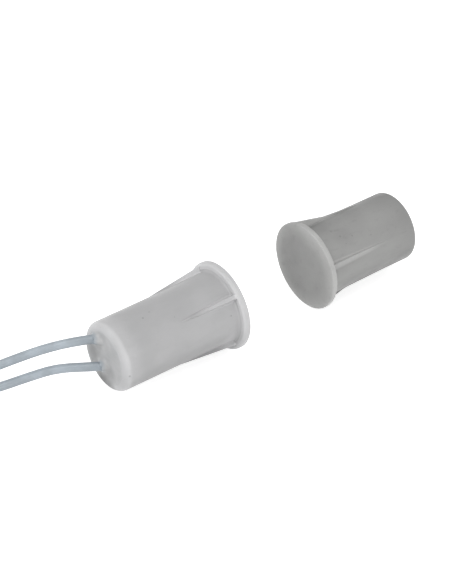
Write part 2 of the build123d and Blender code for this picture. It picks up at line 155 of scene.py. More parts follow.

# What sets the looks of the two halves apart. Places and reaches are in millimetres, and a gain
# above 1 makes the tone lighter. The gains paint light and shade: a painted highlight on the
# flange's border, painted light along and beside the fins, a painted highlight on the switch half's
# rear rim, painted shade towards the magnet half's rear end, and a painted tone on the top, lighter
# on the switch half and darker on the magnet half. Each fin has a gain for the painted light and
# shade on its crest and one for the painted light along its foot.
SWITCH_HALF = {
    "side": -1,  # the way from the flange to the rear end
    "flange_x": SWITCH_HIGH.x / MM - FLANGE_MIDDLE,
    "rear_x": SWITCH_LOW.x / MM,
    "cone": 8.9,  # where the barrel's taper ends, behind the flange
    "fin_start": 45,  # the first fin's angle about the axis
    "fin_light_gains": ((0.95, 1.42), (0.86, 1.24), (0.95, 1.06)),
    "foot_reach": 8.0,
    "beside_light_gain": 1.09,
    "edge_highlight_gain": 1.3,
    "rear_light_gain": 1.13,
    "rear_reach": (0.95, 0.45),
    "rear_end_light_gain": 1.15,
    "top_light_gain": 1.06,
    "smudge": 0.14,
    "spots": SWITCH_SPOTS,
    "painted_shade": REAR_PAINTED_SHADE,
}
MAGNET_HALF = {
    "side": 1,
    "flange_x": MAGNET_LOW.x / MM + FLANGE_MIDDLE,
    "rear_x": MAGNET_HIGH.x / MM,
    "cone": 10.5,
    "fin_start": 66,
    "fin_light_gains": ((1.05, 1.5), (0.97, 1.33)),
    "foot_reach": 11.0,
    "beside_light_gain": 1.0,
    "edge_highlight_gain": 1.5,
    "rear_light_gain": 0.86,
    "rear_reach": (6.0, 0.15),
    "rear_end_light_gain": 1.0,
    "top_light_gain": 0.76,
    "smudge": 0.4,
    "spots": MAGNET_SPOTS,
    "painted_shade": MAGNET_PAINTED_SHADE,
}


# Settings


class StageSettings(PropertyGroup):
    azimuth: FloatProperty(
        name="Azimuth", description="Camera's turn round the object",
        default=radians(-37.724), subtype="ANGLE",
    )
    elevation: FloatProperty(
        name="Elevation", description="Camera's height above the horizon",
        default=radians(36.58), subtype="ANGLE",
    )
    distance: FloatProperty(
        name="Distance", description="Camera's distance from the aim point",
        default=0.345, unit="LENGTH",
    )
    aim: FloatVectorProperty(
        name="Aim point", description="Middle of the picture",
        default=(0.0177, 0.00466, -0.0027), subtype="XYZ",
    )
    lens: FloatProperty(name="Lens", description="Focal length in millimetres", default=161.8)
    ambient: FloatProperty(
        name="Ambient", description="Strength of the light from all round", default=0.62,
    )
    key: FloatProperty(
        name="Key lamp", description="Power of the large lamp in watts", default=0.77,
    )
    rim: FloatProperty(
        name="Rim lamp", description="Power of the lamp behind the wires in watts", default=0.42,
    )
    fill: FloatProperty(
        name="Fill lamp", description="Power of the low lamp in front in watts", default=0.5,
    )


class HousingSettings(PropertyGroup):
    switch_colour: FloatVectorProperty(
        name="Switch plastic", description="Colour of the switch half",
        default=(0.428, 0.428, 0.433), subtype="COLOR",
    )
    magnet_colour: FloatVectorProperty(
        name="Magnet plastic", description="Colour of the magnet half",
        default=(0.314, 0.314, 0.309), subtype="COLOR",
    )
    resin_colour: FloatVectorProperty(
        name="Resin", description="Colour of the resin at the rear ends",
        default=(0.435, 0.437, 0.44), subtype="COLOR",
    )
    roughness: FloatProperty(
        name="Roughness", description="Roughness of the plastic", default=0.42, min=0, max=1,
    )


class WireSettings(PropertyGroup):
    diameter: FloatProperty(
        name="Diameter", description="Outside of the insulation",
        default=WIRE_DIAMETER, unit="LENGTH",
    )
    length: FloatProperty(
        name="Length", description="Each wire from the resin to its tip",
        default=0.305, unit="LENGTH",
    )
    pitch: FloatProperty(
        name="Layer pitch", description="Height between two layers of the hank",
        default=1.22 * MM, unit="LENGTH",
    )
    lane_gap: FloatProperty(
        name="Lane gap", description="Distance between two lanes of the hank",
        default=1.25 * MM, unit="LENGTH",
    )
    colour: FloatVectorProperty(
        name="Insulation", description="Colour of the wires",
        default=(0.36, 0.405, 0.445), subtype="COLOR",
    )
    strands: IntProperty(
        name="Strands", description="Strands round the core of a bare tip", default=6, min=3,
    )


# Shader graphs


class Finish:
    """A material under construction. Its patterns lie in object coordinates, in millimetres."""

    def __init__(self, name, **sockets):
        self.material = bpy.data.materials.new(name)
        self.material.use_nodes = True
        self.tree = self.material.node_tree
        self.shader = self.tree.nodes["Principled BSDF"]
        for socket, value in sockets.items():
            self.shader.inputs[socket.replace("_", " ")].default_value = value
        self.place = self.node("ShaderNodeTexCoord").outputs["Object"]
        self.place = self.scaled((1 / MM,) * 3)  # from metres to millimetres

    def node(self, kind, inputs=None, **attributes):
        """A new node. An input is a value, or the socket that feeds it."""
        made = self.tree.nodes.new(kind)
        for name, value in attributes.items():
            setattr(made, name, value)
        for name, value in (inputs or {}).items():
            if isinstance(value, bpy.types.NodeSocket):
                self.tree.links.new(value, made.inputs[name])
            else:
                made.inputs[name].default_value = value
        return made

    def scaled(self, scale):
        """The place in the object, stretched or shrunk."""
        mapping = self.node("ShaderNodeMapping", {"Vector": self.place, "Scale": scale})
        return mapping.outputs["Vector"]

    def noise(self, scale, detail=3.0, stretch=(1, 1, 1), distortion=0.0):
        """A cloudy pattern. A low stretch draws it out along that axis."""
        inputs = {
            "Vector": self.scaled(stretch), "Scale": scale,
            "Detail": detail, "Distortion": distortion,
        }
        return self.node("ShaderNodeTexNoise", inputs).outputs["Fac"]

    def dots(self, scale, size):
        """1 inside small scattered dots, 0 elsewhere."""
        cells = self.node("ShaderNodeTexVoronoi", {"Vector": self.place, "Scale": scale})
        return self.span(cells.outputs["Distance"], size, size * 0.6, 0, 1)

    def span(self, value, low, high, to_low=0.0, to_high=1.0):
        """A smooth ramp: to_low where the value is low, to_high where it is high."""
        inputs = {
            "Value": value, "From Min": low, "From Max": high, "To Min": to_low, "To Max": to_high,
        }
        ramp = self.node("ShaderNodeMapRange", inputs, interpolation_type="SMOOTHSTEP")
        return ramp.outputs["Result"]

    def math(self, operation, first, second=0.0):
        made = self.node("ShaderNodeMath", {0: first, 1: second}, operation=operation)
        return made.outputs["Value"]

    def vector_math(self, operation, *values):
        made = self.node("ShaderNodeVectorMath", dict(enumerate(values)), operation=operation)
        return made.outputs["Value"]

    def mix(self, factor, first, second, blend="MIX"):
        made = self.node("ShaderNodeMix", data_type="RGBA", blend_type=blend)
        for index, value in ((0, factor), (6, first), (7, second)):
            if isinstance(value, bpy.types.NodeSocket):
                self.tree.links.new(value, made.inputs[index])
            else:
                made.inputs[index].default_value = value if index == 0 else (*value[:3], 1)
        return made.outputs[2]

    def gain(self, mask, tone, factor):
        """The tone made lighter or darker inside a mask."""
        return self.mix(mask, tone, (factor,) * 3, "MULTIPLY")

    def both(self, first, *others):
        """Masks multiplied together."""
        for other in others:
            first = self.math("MULTIPLY", first, other)
        return first

    def near(self, point, inner, outer):
        """1 within the inner distance from a point in millimetres, 0 past the outer one."""
        return self.span(self.vector_math("DISTANCE", self.place, point), outer, inner)

    def axis_radius(self):
        """Distance from the common axis, in millimetres."""
        apart = self.node("ShaderNodeSeparateXYZ", {"Vector": self.place}).outputs
        flat = self.node("ShaderNodeCombineXYZ", {"Y": apart["Y"], "Z": apart["Z"]})
        return self.vector_math("LENGTH", flat.outputs["Vector"])

    def across(self, angle):
        """How far a point lies out from the axis towards an angle about it, in millimetres."""
        heading = (0, cos(radians(angle)), sin(radians(angle)))
        return self.vector_math("DOT_PRODUCT", self.place, heading)

    def along(self, axis="X"):
        """Place along an axis, in millimetres."""
        return self.node("ShaderNodeSeparateXYZ", {"Vector": self.place}).outputs[axis]

    def set(self, socket, value):
        """Feeds a pattern to the surface."""
        self.tree.links.new(value, self.shader.inputs[socket])

    def bump(self, *layers):
        """Stacks bumps, each a height pattern and its depth in millimetres."""
        normal = None
        for height, depth in layers:
            inputs = {"Height": height, "Distance": depth * MM, "Strength": 1.0}
            if normal is not None:
                inputs["Normal"] = normal
            normal = self.node("ShaderNodeBump", inputs).outputs["Normal"]
        self.set("Normal", normal)


def shaded(colour, factor):
    """A colour made darker or lighter."""
    return tuple(channel * factor for channel in colour[:3])


def spotted(finish, tone, spots, core=0.4):
    """Small soft marks on a tone."""
    for point, size, factor in spots:
        tone = finish.gain(finish.near(point, size * core, size), tone, factor)
    return tone


def paint_flange_highlight(finish, radius, behind):
    """The mask of the flange's painted highlight: its rim, a narrow band on its back, a fading one
    on its face.
    """
    on_flange = finish.span(finish.math("ABSOLUTE", behind), 0.85, 0.5)
    rim = finish.span(radius, 5.65, 5.95)
    face = finish.both(finish.span(radius, 3.5, 6.9), finish.span(behind, 0.25, -0.25))
    back = finish.both(finish.span(radius, 5.1, 5.3), finish.span(behind, -0.25, 0.25))
    return finish.both(on_flange, finish.math("MAXIMUM", rim, finish.math("MAXIMUM", face, back)))


def painted_fin_light(finish, tone, half, radius, behind):
    """Painted light on the fins: painted light and shade on each crest, and painted light along a
    foot by each fin and on the plastic beside it.

    The fins are counted from the half's first one, a quarter turn apart.
    """
    barrel_radius = finish.span(behind, 0.5, half["cone"], 4.93, 4.77)
    half_width = finish.span(behind, 0.5, half["cone"], 0.45, 0.12)
    clear = finish.span(behind, 0.5, 0.8)
    height = finish.math("SUBTRACT", radius, barrel_radius)
    proud = finish.both(finish.span(height, 0.02, 0.2), clear)
    reach = finish.both(clear, finish.span(behind, half["foot_reach"], half["foot_reach"] - 5))
    for number, (crest_light, foot_light) in enumerate(half["fin_light_gains"]):
        angle = half["fin_start"] + 90 * number
        outer = finish.span(finish.across(angle), 3.6, 4.4)
        sideways = finish.math("ABSOLUTE", finish.across(angle + 90))
        from_flank = finish.math("SUBTRACT", sideways, half_width)
        beside = finish.both(outer, reach, finish.span(from_flank, 0.7, 0.3))
        tone = finish.gain(beside, tone, half["beside_light_gain"])
        foot = finish.both(outer, reach, finish.span(from_flank, 0.3, 0.0))
        tone = finish.gain(foot, tone, foot_light)
        tone = finish.gain(finish.both(proud, outer), tone, crest_light)
    return tone


def moulded_plastic(name, colour, roughness, half):
    """Matt moulded plastic, with painted highlights and shade at the flange, the fins, the rear
    end, the top and the underside.
    """
    finish = Finish(name, Roughness=roughness, Specular_IOR_Level=0.45)

    # Distances from the axis, behind the flange's middle and from the rear end, in millimetres
    radius, place = finish.axis_radius(), finish.along()
    from_flange = finish.math("SUBTRACT", place, half["flange_x"])
    behind = finish.math("MULTIPLY", from_flange, half["side"])
    from_rear = finish.math("ABSOLUTE", finish.math("SUBTRACT", place, half["rear_x"]))

    # The body: clouds, smudges, a painted tone on the top, lighter on the switch half and darker on
    # the magnet half, and painted shade on the underside
    clouds = finish.noise(0.35, 4, (0.6, 1, 1))
    tone = finish.mix(finish.span(clouds, 0.35, 0.65), shaded(colour, 0.965), shaded(colour, 1.03))
    smudges = finish.span(finish.noise(1.3, 5, (0.6, 1, 1), 0.4), 0.55, 0.74, 0, half["smudge"])
    tone = finish.gain(smudges, tone, 0.8)
    tone = finish.gain(finish.span(finish.along("Y"), -2.4, 3.4), tone, half["top_light_gain"])
    between_ends = finish.both(finish.span(behind, 1, 4), finish.span(from_rear, 0.5, 1.3))
    low_front = finish.across(226.7)
    underside_shade = finish.both(finish.span(low_front, 3.2, 4.75), between_ends)
    tone = finish.gain(underside_shade, tone, 0.74)

    # Painted light at the flange, the fins and the rear end: highlights on the flange's border,
    # light over a line of shade on its back, the fins' painted light, and the rear ends' painted
    # light and shade
    flange_light = paint_flange_highlight(finish, radius, behind)
    tone = finish.gain(flange_light, tone, half["edge_highlight_gain"])
    # Painted light on the flange's back by its rim, over a line of shade there
    flange_back_light = finish.both(flange_light, finish.span(behind, 0.3, 0.48), finish.span(radius, 6.05, 5.8))
    tone = finish.gain(flange_back_light, tone, 1.1)
    tone = painted_fin_light(finish, tone, half, radius, behind)
    # Painted highlight on the switch half's rear rim, painted shade towards the magnet half's rear
    # end
    off_edge = finish.span(from_rear, 0.05, 0.45, 0.5, 1)
    rear = finish.both(finish.span(from_rear, *half["rear_reach"]), off_edge)
    tone = finish.gain(rear, tone, half["rear_light_gain"])
    # Painted light near the switch half's rear end
    tone = finish.gain(finish.span(from_rear, 3.2, 0.7), tone, half["rear_end_light_gain"])

    # Specks, marks, painted shade and grain
    specks = finish.both(finish.dots(0.55, 0.07), finish.span(finish.noise(0.8), 0.45, 0.6))
    tone = finish.gain(finish.math("MULTIPLY", specks, 0.6), tone, 0.55)
    tone = spotted(finish, tone, half["spots"])
    tone = spotted(finish, tone, half["painted_shade"], 0.3)
    grain = finish.noise(9, 4)
    finish.set("Base Color", finish.gain(finish.span(grain, 0.3, 0.7, 0, 0.35), tone, 0.94))
    rubbed = finish.noise(0.9, 4, (0.4, 1, 1))
    finish.set("Roughness", finish.span(rubbed, 0.3, 0.7, roughness - 0.05, roughness + 0.08))
    waves = finish.noise(0.5, 2, (0.5, 1, 1))
    nicks = finish.both(finish.span(finish.noise(2.6, 2), 0.58, 0.7), flange_light)
    finish.bump((waves, 0.03), (grain, 0.01), (nicks, -0.03), (specks, -0.04))
    return finish.material


def potting_resin(name, colour, roots, wire_colour):
    """Soft gloss resin with faint swirls, pinholes, the wires' tone at their roots, a painted
    highlight towards its rim and painted shade.
    """
    finish = Finish(name, Roughness=0.4, Coat_Weight=0.08, Coat_Roughness=0.3)
    swirls = finish.span(finish.noise(0.7, 4, (1, 1, 1), 0.5), 0.35, 0.68)
    tone = finish.mix(swirls, shaded(colour, 0.97), shaded(colour, 1.02))
    # A painted highlight towards the rim, then the rear end's painted shadows and shade
    outer_ring_light = finish.span(finish.axis_radius(), 3.2, 3.75)
    tone = finish.gain(outer_ring_light, tone, 1.1)
    tone = spotted(finish, tone, REAR_PAINTED_SHADE, 0.3)
    for root in roots:
        tone = finish.mix(finish.near(root, 0.5, 1.15), tone, shaded(wire_colour, 0.86))
    pinholes = finish.dots(1.3, 0.05)
    finish.set("Base Color", finish.gain(finish.math("MULTIPLY", pinholes, 0.6), tone, 0.5))
    finish.set("Roughness", finish.span(finish.noise(1.8, 3), 0.3, 0.7, 0.34, 0.5))
    finish.bump((finish.noise(0.6, 2), 0.03), (finish.noise(7, 3), 0.008), (pinholes, -0.04))
    return finish.material


def insulation(name, colour):
    """Smooth extruded insulation with a little dust, and painted shade where it leaves the resin.
    """
    finish = Finish(name, Roughness=0.38, Specular_IOR_Level=0.5)
    clouds = finish.span(finish.noise(0.5, 4), 0.35, 0.65)
    tone = finish.mix(clouds, shaded(colour, 0.9), shaded(colour, 1.08))
    # Painted shade where the wire leaves the resin
    shade_at_resin = finish.span(finish.along(), -8.4, -5.6)
    tone = finish.gain(shade_at_resin, tone, 0.78)
    dust = finish.span(finish.noise(3.5, 5), 0.6, 0.75, 0, 0.25)
    finish.set("Base Color", finish.mix(dust, tone, shaded(colour, 1.35)))
    finish.set("Roughness", finish.span(finish.noise(1.4, 3), 0.3, 0.7, 0.3, 0.5))
    finish.bump((finish.noise(1.2, 2), 0.02), (finish.noise(11, 3), 0.006))
    return finish.material


def worked_metal(name, colour, roughness, grain, stretch, depth):
    """Metal with a drawn, ground or cast grain."""
    finish = Finish(name, Metallic=1.0, Roughness=roughness)
    lines = finish.noise(grain, 4, stretch)
    clouds = finish.span(finish.noise(0.9, 3), 0.35, 0.65)
    tone = finish.mix(clouds, shaded(colour, 0.85), shaded(colour, 1.06))
    grooves = finish.span(lines, 0.35, 0.65, 0, 0.4)
    finish.set("Base Color", finish.mix(grooves, tone, shaded(colour, 0.75)))
    finish.set("Roughness", finish.span(lines, 0.3, 0.7, roughness - 0.08, roughness + 0.12))
    finish.bump((lines, depth))
    return finish.material


def soft_sleeve(name, colour):
    """Soft sleeve with a chalky surface."""
    finish = Finish(name, Roughness=0.6, Subsurface_Weight=0.1)
    finish.shader.inputs["Subsurface Scale"].default_value = 0.3 * MM
    dusty = finish.span(finish.noise(2.2, 4), 0.35, 0.65)
    finish.set("Base Color", finish.mix(dusty, shaded(colour, 0.88), shaded(colour, 1.05)))
    finish.set("Roughness", finish.span(finish.noise(5, 3), 0.3, 0.7, 0.5, 0.7))
    finish.bump((finish.noise(6, 3), 0.015))
    return finish.material


def clear_glass(name, colour):
    """Clear glass tube with faint drawing lines."""
    finish = Finish(name, Roughness=0.03, Transmission_Weight=1.0, IOR=1.5)
    drawn = finish.noise(2.5, 3, (0.1, 1, 1))
    streaks = finish.span(drawn, 0.35, 0.65)
    finish.set("Base Color", finish.mix(streaks, shaded(colour, 0.94), colour))
    finish.bump((drawn, 0.01))
    return finish.material


def tie_nylon(name, colour):
    """Natural nylon, slightly waxy."""
    finish = Finish(name, Roughness=0.4, Subsurface_Weight=0.15)
    finish.shader.inputs["Subsurface Scale"].default_value = 0.4 * MM
    waxy = finish.span(finish.noise(0.8, 4), 0.35, 0.65)
    finish.set("Base Color", finish.mix(waxy, shaded(colour, 0.93), shaded(colour, 1.04)))
    finish.set("Roughness", finish.span(finish.noise(4, 3), 0.3, 0.7, 0.32, 0.5))
    finish.bump((finish.noise(1.5, 2), 0.02), (finish.noise(12, 2), 0.006))
    return finish.material


# Meshes


def piece_from(name, mesh, material, slot, *nodes):
    """A new piece on the root body that stands for the named CAD nodes."""
    if isinstance(mesh, bmesh.types.BMesh):
        data = bpy.data.meshes.new(name)
        mesh.normal_update()
        mesh.to_mesh(data)
        mesh.free()
        data.shade_smooth()
        mesh = data
    piece = bpy.data.objects.new(name, mesh)
    bpy.context.scene.collection.objects.link(piece)
    piece.data.materials.append(material)
    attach(piece, "root")
    if nodes:
        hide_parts(*nodes)
    return piece


def dress(node, material):
    """Gives a CAD node's slots a finish."""
    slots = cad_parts[node].material_slots
    if not slots:
        raise RuntimeError(f"{node} has no material slot")
    for slot in slots:
        slot.material = material


def skinned(mesh, rings):
    """Faces between closed rings of vertices that have the same count."""
    made = [[mesh.verts.new(point) for point in ring] for ring in rings]
    count = len(made[0])
    for before, after in zip(made, made[1:]):
        for index in range(count):
            other = (index + 1) % count
            mesh.faces.new((before[index], before[other], after[other], after[index]))
    return made


def resin_height(y, z, wires, seed):
    """How far the resin stands proud of its dished level at a point, in millimetres.

    It climbs each wire in a collar and has a bead on the side that the wire leans away from.
    """
    slant = 1.25  # a leaning wire's cut is longer the way it leans
    root_radius = 0.5
    collar_height, collar_reach = 0.7, 0.3
    bead_height, bead_radius, bead_offset = 0.2, 0.42, 1.05
    height = 0.05 * noise.noise(Vector((y * 0.7, z * 0.7, seed)))
    for root, lean in wires:
        offset = Vector((y, z)) - root
        along = offset.dot(lean) / slant
        across = offset.cross(lean)
        from_wire = max(hypot(along, across) - root_radius, 0)
        wobble = 1 + 0.3 * noise.noise(Vector((y * 2.1, z * 2.1, seed + 5)))
        height += collar_height * wobble * exp(-((from_wire / collar_reach) ** 1.3))
        from_bead = (offset + lean * bead_offset).length
        height += bead_height * exp(-((from_bead / bead_radius) ** 4))
    return height


def resin_face(name, rear_x, side, wires, material, node, seed):
    """The resin's surface in a barrel's open end, with its skirt inside the wall."""
    turns, steps = 160, 72
    radius, dish = RESIN_RADIUS / MM, 0.1
    skirt_depth = 1.4 * MM
    least = 0.2 if wires else 0  # how much of the relief is left at the wall
    rings = []
    for step in range(1, steps + 1):
        share = step / steps
        fade = max(min(1, (1 - share) * 8), least)
        ring = []
        for turn in range(turns):
            angle = tau * turn / turns
            y, z = radius * share * cos(angle), radius * share * sin(angle)
            depth = dish * (1 - share**2) - resin_height(y, z, wires, seed) * fade
            ring.append((rear_x - side * depth * MM, y * MM, z * MM))
        rings.append(ring)
    skirt = [(rear_x - side * skirt_depth, y, z) for _, y, z in rings[-1]]
    mesh = bmesh.new()
    made = skinned(mesh, [*rings, skirt])
    mesh.faces.new(made[0])
    mesh.faces.new(made[-1])
    bmesh.ops.recalc_face_normals(mesh, faces=mesh.faces)
    return piece_from(name, mesh, material, "resin", node)


# Wires


def blend(share, start, end):
    """0 before start, 1 after end, and a smooth change between."""
    share = min(max((share - start) / (end - start), 0), 1)
    return share * share * (3 - 2 * share)


def steady(value):
    """The same value all round a loop."""
    return lambda share: value


def folded_turns(wires, upper, lower):
    """Control points of one wire through the hank, in its upper layer and then in its lower one.

    The wire makes three and a half turns. Each passes the waist, under the tie, on both sides.
    """
    radius = wires.diameter / 2
    centre = (HANK_LOW + HANK_HIGH) / 2
    outer = (HANK_HIGH.y - HANK_LOW.y) / 2 - radius
    inner = outer - wires.lane_gap
    loop_x = (HANK_HIGH.x - HANK_LOW.x) / 2 - outer - radius
    high, low = (FLOOR_Z + radius + layer * wires.pitch for layer in (upper, lower))
    waist_x, waist_outer, waist_lift = 2.2 * MM, 1.9 * MM, 0.5 * MM
    whole_loop = 240  # degrees
    spread = 1 / 0.9665  # a control polygon of 30 degree steps lies outside its curve
    points = []

    def add(x, y, z):
        points.append((centre.x + x, centre.y + y, z))

    def waist(side, lane, z, direction):
        """Across the waist, where the lanes draw together and the wire rises a little."""
        y = side * (waist_outer - (outer - lane))
        for x in (-direction * waist_x, direction * waist_x):
            add(x, y, z + waist_lift)

    def loop(direction, first, last, lane_at, z_at):
        """Round one end of the hank, with a lane and a height at each share of the way."""
        step = 30 if last > first else -30
        for angle in range(first, last + step, step):
            share = abs(angle - first) / whole_loop
            lane, turn = lane_at(share) * spread, radians(angle)
            add(direction * (loop_x + lane * cos(turn)), lane * sin(turn), z_at(share))

    def inward(share):
        return outer - wires.lane_gap * blend(share, 0.2, 0.85)

    def downward(share):
        return high - (high - low) * blend(share, -0.3, 0.3)

    turns = ((outer, high), (inner, high), (inner, low), (outer, low))
    onward = ((inward, steady(high)), (steady(inner), downward), (steady(outer), steady(low)))
    loop(1, 90, 120, steady(outer), steady(high))
    for number, (lane, z) in enumerate(turns):
        ends_here = number == len(onward)
        waist(1, lane, z, -1)
        loop(-1, 120, -90 if ends_here else -120, steady(lane), steady(z))
        if not ends_here:
            lane_at, z_at = onward[number]
            waist(-1, lane_at(0), z, 1)
            loop(1, -120, 120, lane_at, z_at)
    return points


def wire_curve(name, points, diameter, material, nodes):
    """One open smooth curve with a round section."""
    curve = bpy.data.curves.new(name, "CURVE")
    curve.dimensions = "3D"
    curve.bevel_depth = diameter / 2
    curve.bevel_resolution = 5
    curve.resolution_u = 8
    curve.use_fill_caps = True
    spline = curve.splines.new("NURBS")
    spline.points.add(len(points) - 1)
    for target, point in zip(spline.points, points):
        target.co = (*point, 1)
    spline.order_u = 3
    spline.use_endpoint_u = True
    spline.use_smooth = True
    return piece_from(name, curve, material, "wire_jacket", *nodes)


def bare_tip(name, node, heading, strands, material):
    """Tinned strands twisted round a core, with a slightly ragged end."""
    low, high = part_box(node)
    middle, length = (low + high) / 2, high.x - low.x
    start = middle - heading * length / 2
    side = heading.cross(Vector((0, 0, 1))).normalized()
    up = side.cross(heading)
    strand_radius, orbit_radius = 0.125 * MM, 0.245 * MM
    twists, raggedness = 1.6, 0.03
    steps, corners = 60, 10
    mesh = bmesh.new()
    for number in range(strands + 1):
        orbit = 0 if number == strands else orbit_radius
        reach = length * (1 - raggedness * ((number * 5) % 4))
        rings = []
        for step in range(steps + 1):
            share = step / steps
            angle = tau * (number / strands + share * twists)
            centre = start + heading * reach * share + (side * cos(angle) + up * sin(angle)) * orbit
            ring = []
            for corner in range(corners):
                around = tau * corner / corners
                ring.append(centre + (side * cos(around) + up * sin(around)) * strand_radius)
            rings.append(ring)
        made = skinned(mesh, rings)
        mesh.faces.new(made[0])
        mesh.faces.new(made[-1])
    bmesh.ops.recalc_face_normals(mesh, faces=mesh.faces)
    return piece_from(name, mesh, material, "tinned_copper", node)


# Hank tie


def tie_band(mesh, centre, width, thickness, half_width, low_z, high_z):
    """A strap round the waist of the hank, with soft edges."""
    corner, edge, corner_steps = 0.42 * MM, 0.1 * MM, 6
    path = []
    for start, y, z in ((0, 1, 1), (1, -1, 1), (2, -1, -1), (3, 1, -1)):
        middle_y = y * (half_width + thickness / 2 - corner)
        middle_z = high_z - thickness / 2 - corner if z > 0 else low_z + thickness / 2 + corner
        for step in range(corner_steps + 1):
            angle = pi / 2 * (start + step / corner_steps)
            path.append((middle_y, middle_z, cos(angle), sin(angle)))
    rings = []
    for middle_y, middle_z, out_y, out_z in path:
        ring = []
        for x_share, r_share in ((-0.5, -0.5), (-0.5, 0.5), (0.5, 0.5), (0.5, -0.5)):
            for second in (False, True):
                narrowed = second == (x_share * r_share > 0)
                x = x_share * (width - (edge * 2 if narrowed else 0))
                r = corner + r_share * (thickness - (0 if narrowed else edge * 2))
                ring.append((centre.x + x, centre.y + middle_y + out_y * r, middle_z + out_z * r))
        rings.append(ring)
    skinned(mesh, [*rings, rings[0]])


def rounded_block(mesh, low, high, edge):
    """A block with rounded edges."""
    place = Matrix.LocRotScale((low + high) / 2, None, high - low)
    made = bmesh.ops.create_cube(mesh, size=1, matrix=place)["verts"]
    edges = list({joined for vertex in made for joined in vertex.link_edges})
    bmesh.ops.bevel(mesh, geom=edges, offset=edge, segments=3, affect="EDGES", profile=0.5)


# Operators


class CONTACT_OT_stage(Operator):
    """Makes the camera, the lamps, the light from all round and the floor"""

    bl_idname = "contact.stage"
    bl_label = "Stage"

    def execute(self, context):
        stage = context.scene.contact_stage
        scene = context.scene
        scene.view_settings.view_transform = "Standard"
        turn, rise = stage.azimuth, stage.elevation
        back = Vector((sin(turn) * cos(rise), -cos(turn) * cos(rise), sin(rise)))
        data = bpy.data.cameras.new("camera")
        data.lens, data.sensor_width = stage.lens, 36
        data.clip_start, data.clip_end = 0.01, 20
        camera = bpy.data.objects.new("camera", data)
        camera.location = Vector(stage.aim) + back * stage.distance
        camera.rotation_euler = back.to_track_quat("Z", "Y").to_euler()
        scene.collection.objects.link(camera)
        scene.camera = camera
        middle = (0.015, 0, 0)
        self.lamp("key_lamp", stage.key, 0.35, (-0.12, -0.1, 0.5), middle)
        self.lamp("rim_lamp", stage.rim, 0.2, (-0.4, 0.05, 0.12), (0, 0, 0))
        self.lamp("fill_lamp", stage.fill, 0.16, (0, -0.5, 0.08), middle)
        self.world(scene, stage.ambient)
        self.floor(scene)
        return {"FINISHED"}

    def lamp(self, name, power, size, place, aim):
        """A square lamp at a place, turned towards its aim."""
        data = bpy.data.lights.new(name, "AREA")
        data.energy, data.size = power, size
        lamp = bpy.data.objects.new(name, data)
        lamp.location = place
        lamp.rotation_euler = (Vector(place) - Vector(aim)).to_track_quat("Z", "Y").to_euler()
        bpy.context.scene.collection.objects.link(lamp)

    def seen(self, tree):
        """1 for camera, glossy and transmission rays."""
        path = tree.nodes.new("ShaderNodeLightPath")
        total = path.outputs["Is Camera Ray"]
        for ray in ("Is Glossy Ray", "Is Transmission Ray"):
            step = tree.nodes.new("ShaderNodeMath")
            step.operation, step.use_clamp = "ADD", True
            tree.links.new(total, step.inputs[0])
            tree.links.new(path.outputs[ray], step.inputs[1])
            total = step.outputs[0]
        return total

    def world(self, scene, ambient):
        """Even light from all round, which shows as white itself."""
        world = bpy.data.worlds.new("soft_light")
        world.use_nodes = True
        scene.world = world
        tree = world.node_tree
        background = tree.nodes["Background"]
        background.inputs["Color"].default_value = (1, 1, 1, 1)
        strength = tree.nodes.new("ShaderNodeMapRange")
        strength.inputs["To Min"].default_value = ambient
        tree.links.new(self.seen(tree), strength.inputs["Value"])
        tree.links.new(strength.outputs["Result"], background.inputs["Strength"])

    def floor(self, scene):
        """A pale floor, with a glow that only the seen rays get, so that it shows as white."""
        reach, glow = 3.0, 0.68
        material = bpy.data.materials.new("floor_white")
        material.use_nodes = True
        tree = material.node_tree
        shader = tree.nodes["Principled BSDF"]
        sockets = {
            "Base Color": (0.92, 0.92, 0.92, 1), "Roughness": 0.9,
            "Specular IOR Level": 0.1, "Emission Color": (1, 1, 1, 1),
        }
        for socket, value in sockets.items():
            shader.inputs[socket].default_value = value
        lift = tree.nodes.new("ShaderNodeMapRange")
        lift.inputs["To Max"].default_value = glow
        tree.links.new(self.seen(tree), lift.inputs["Value"])
        tree.links.new(lift.outputs["Result"], shader.inputs["Emission Strength"])
        mesh = bpy.data.meshes.new("floor")
        corners = [(-reach, -reach), (reach, -reach), (reach, reach), (-reach, reach)]
        mesh.from_pydata([(x, y, FLOOR_Z) for x, y in corners], [], [(0, 1, 2, 3)])
        floor = bpy.data.objects.new("floor", mesh)
        floor.data.materials.append(material)
        scene.collection.objects.link(floor)


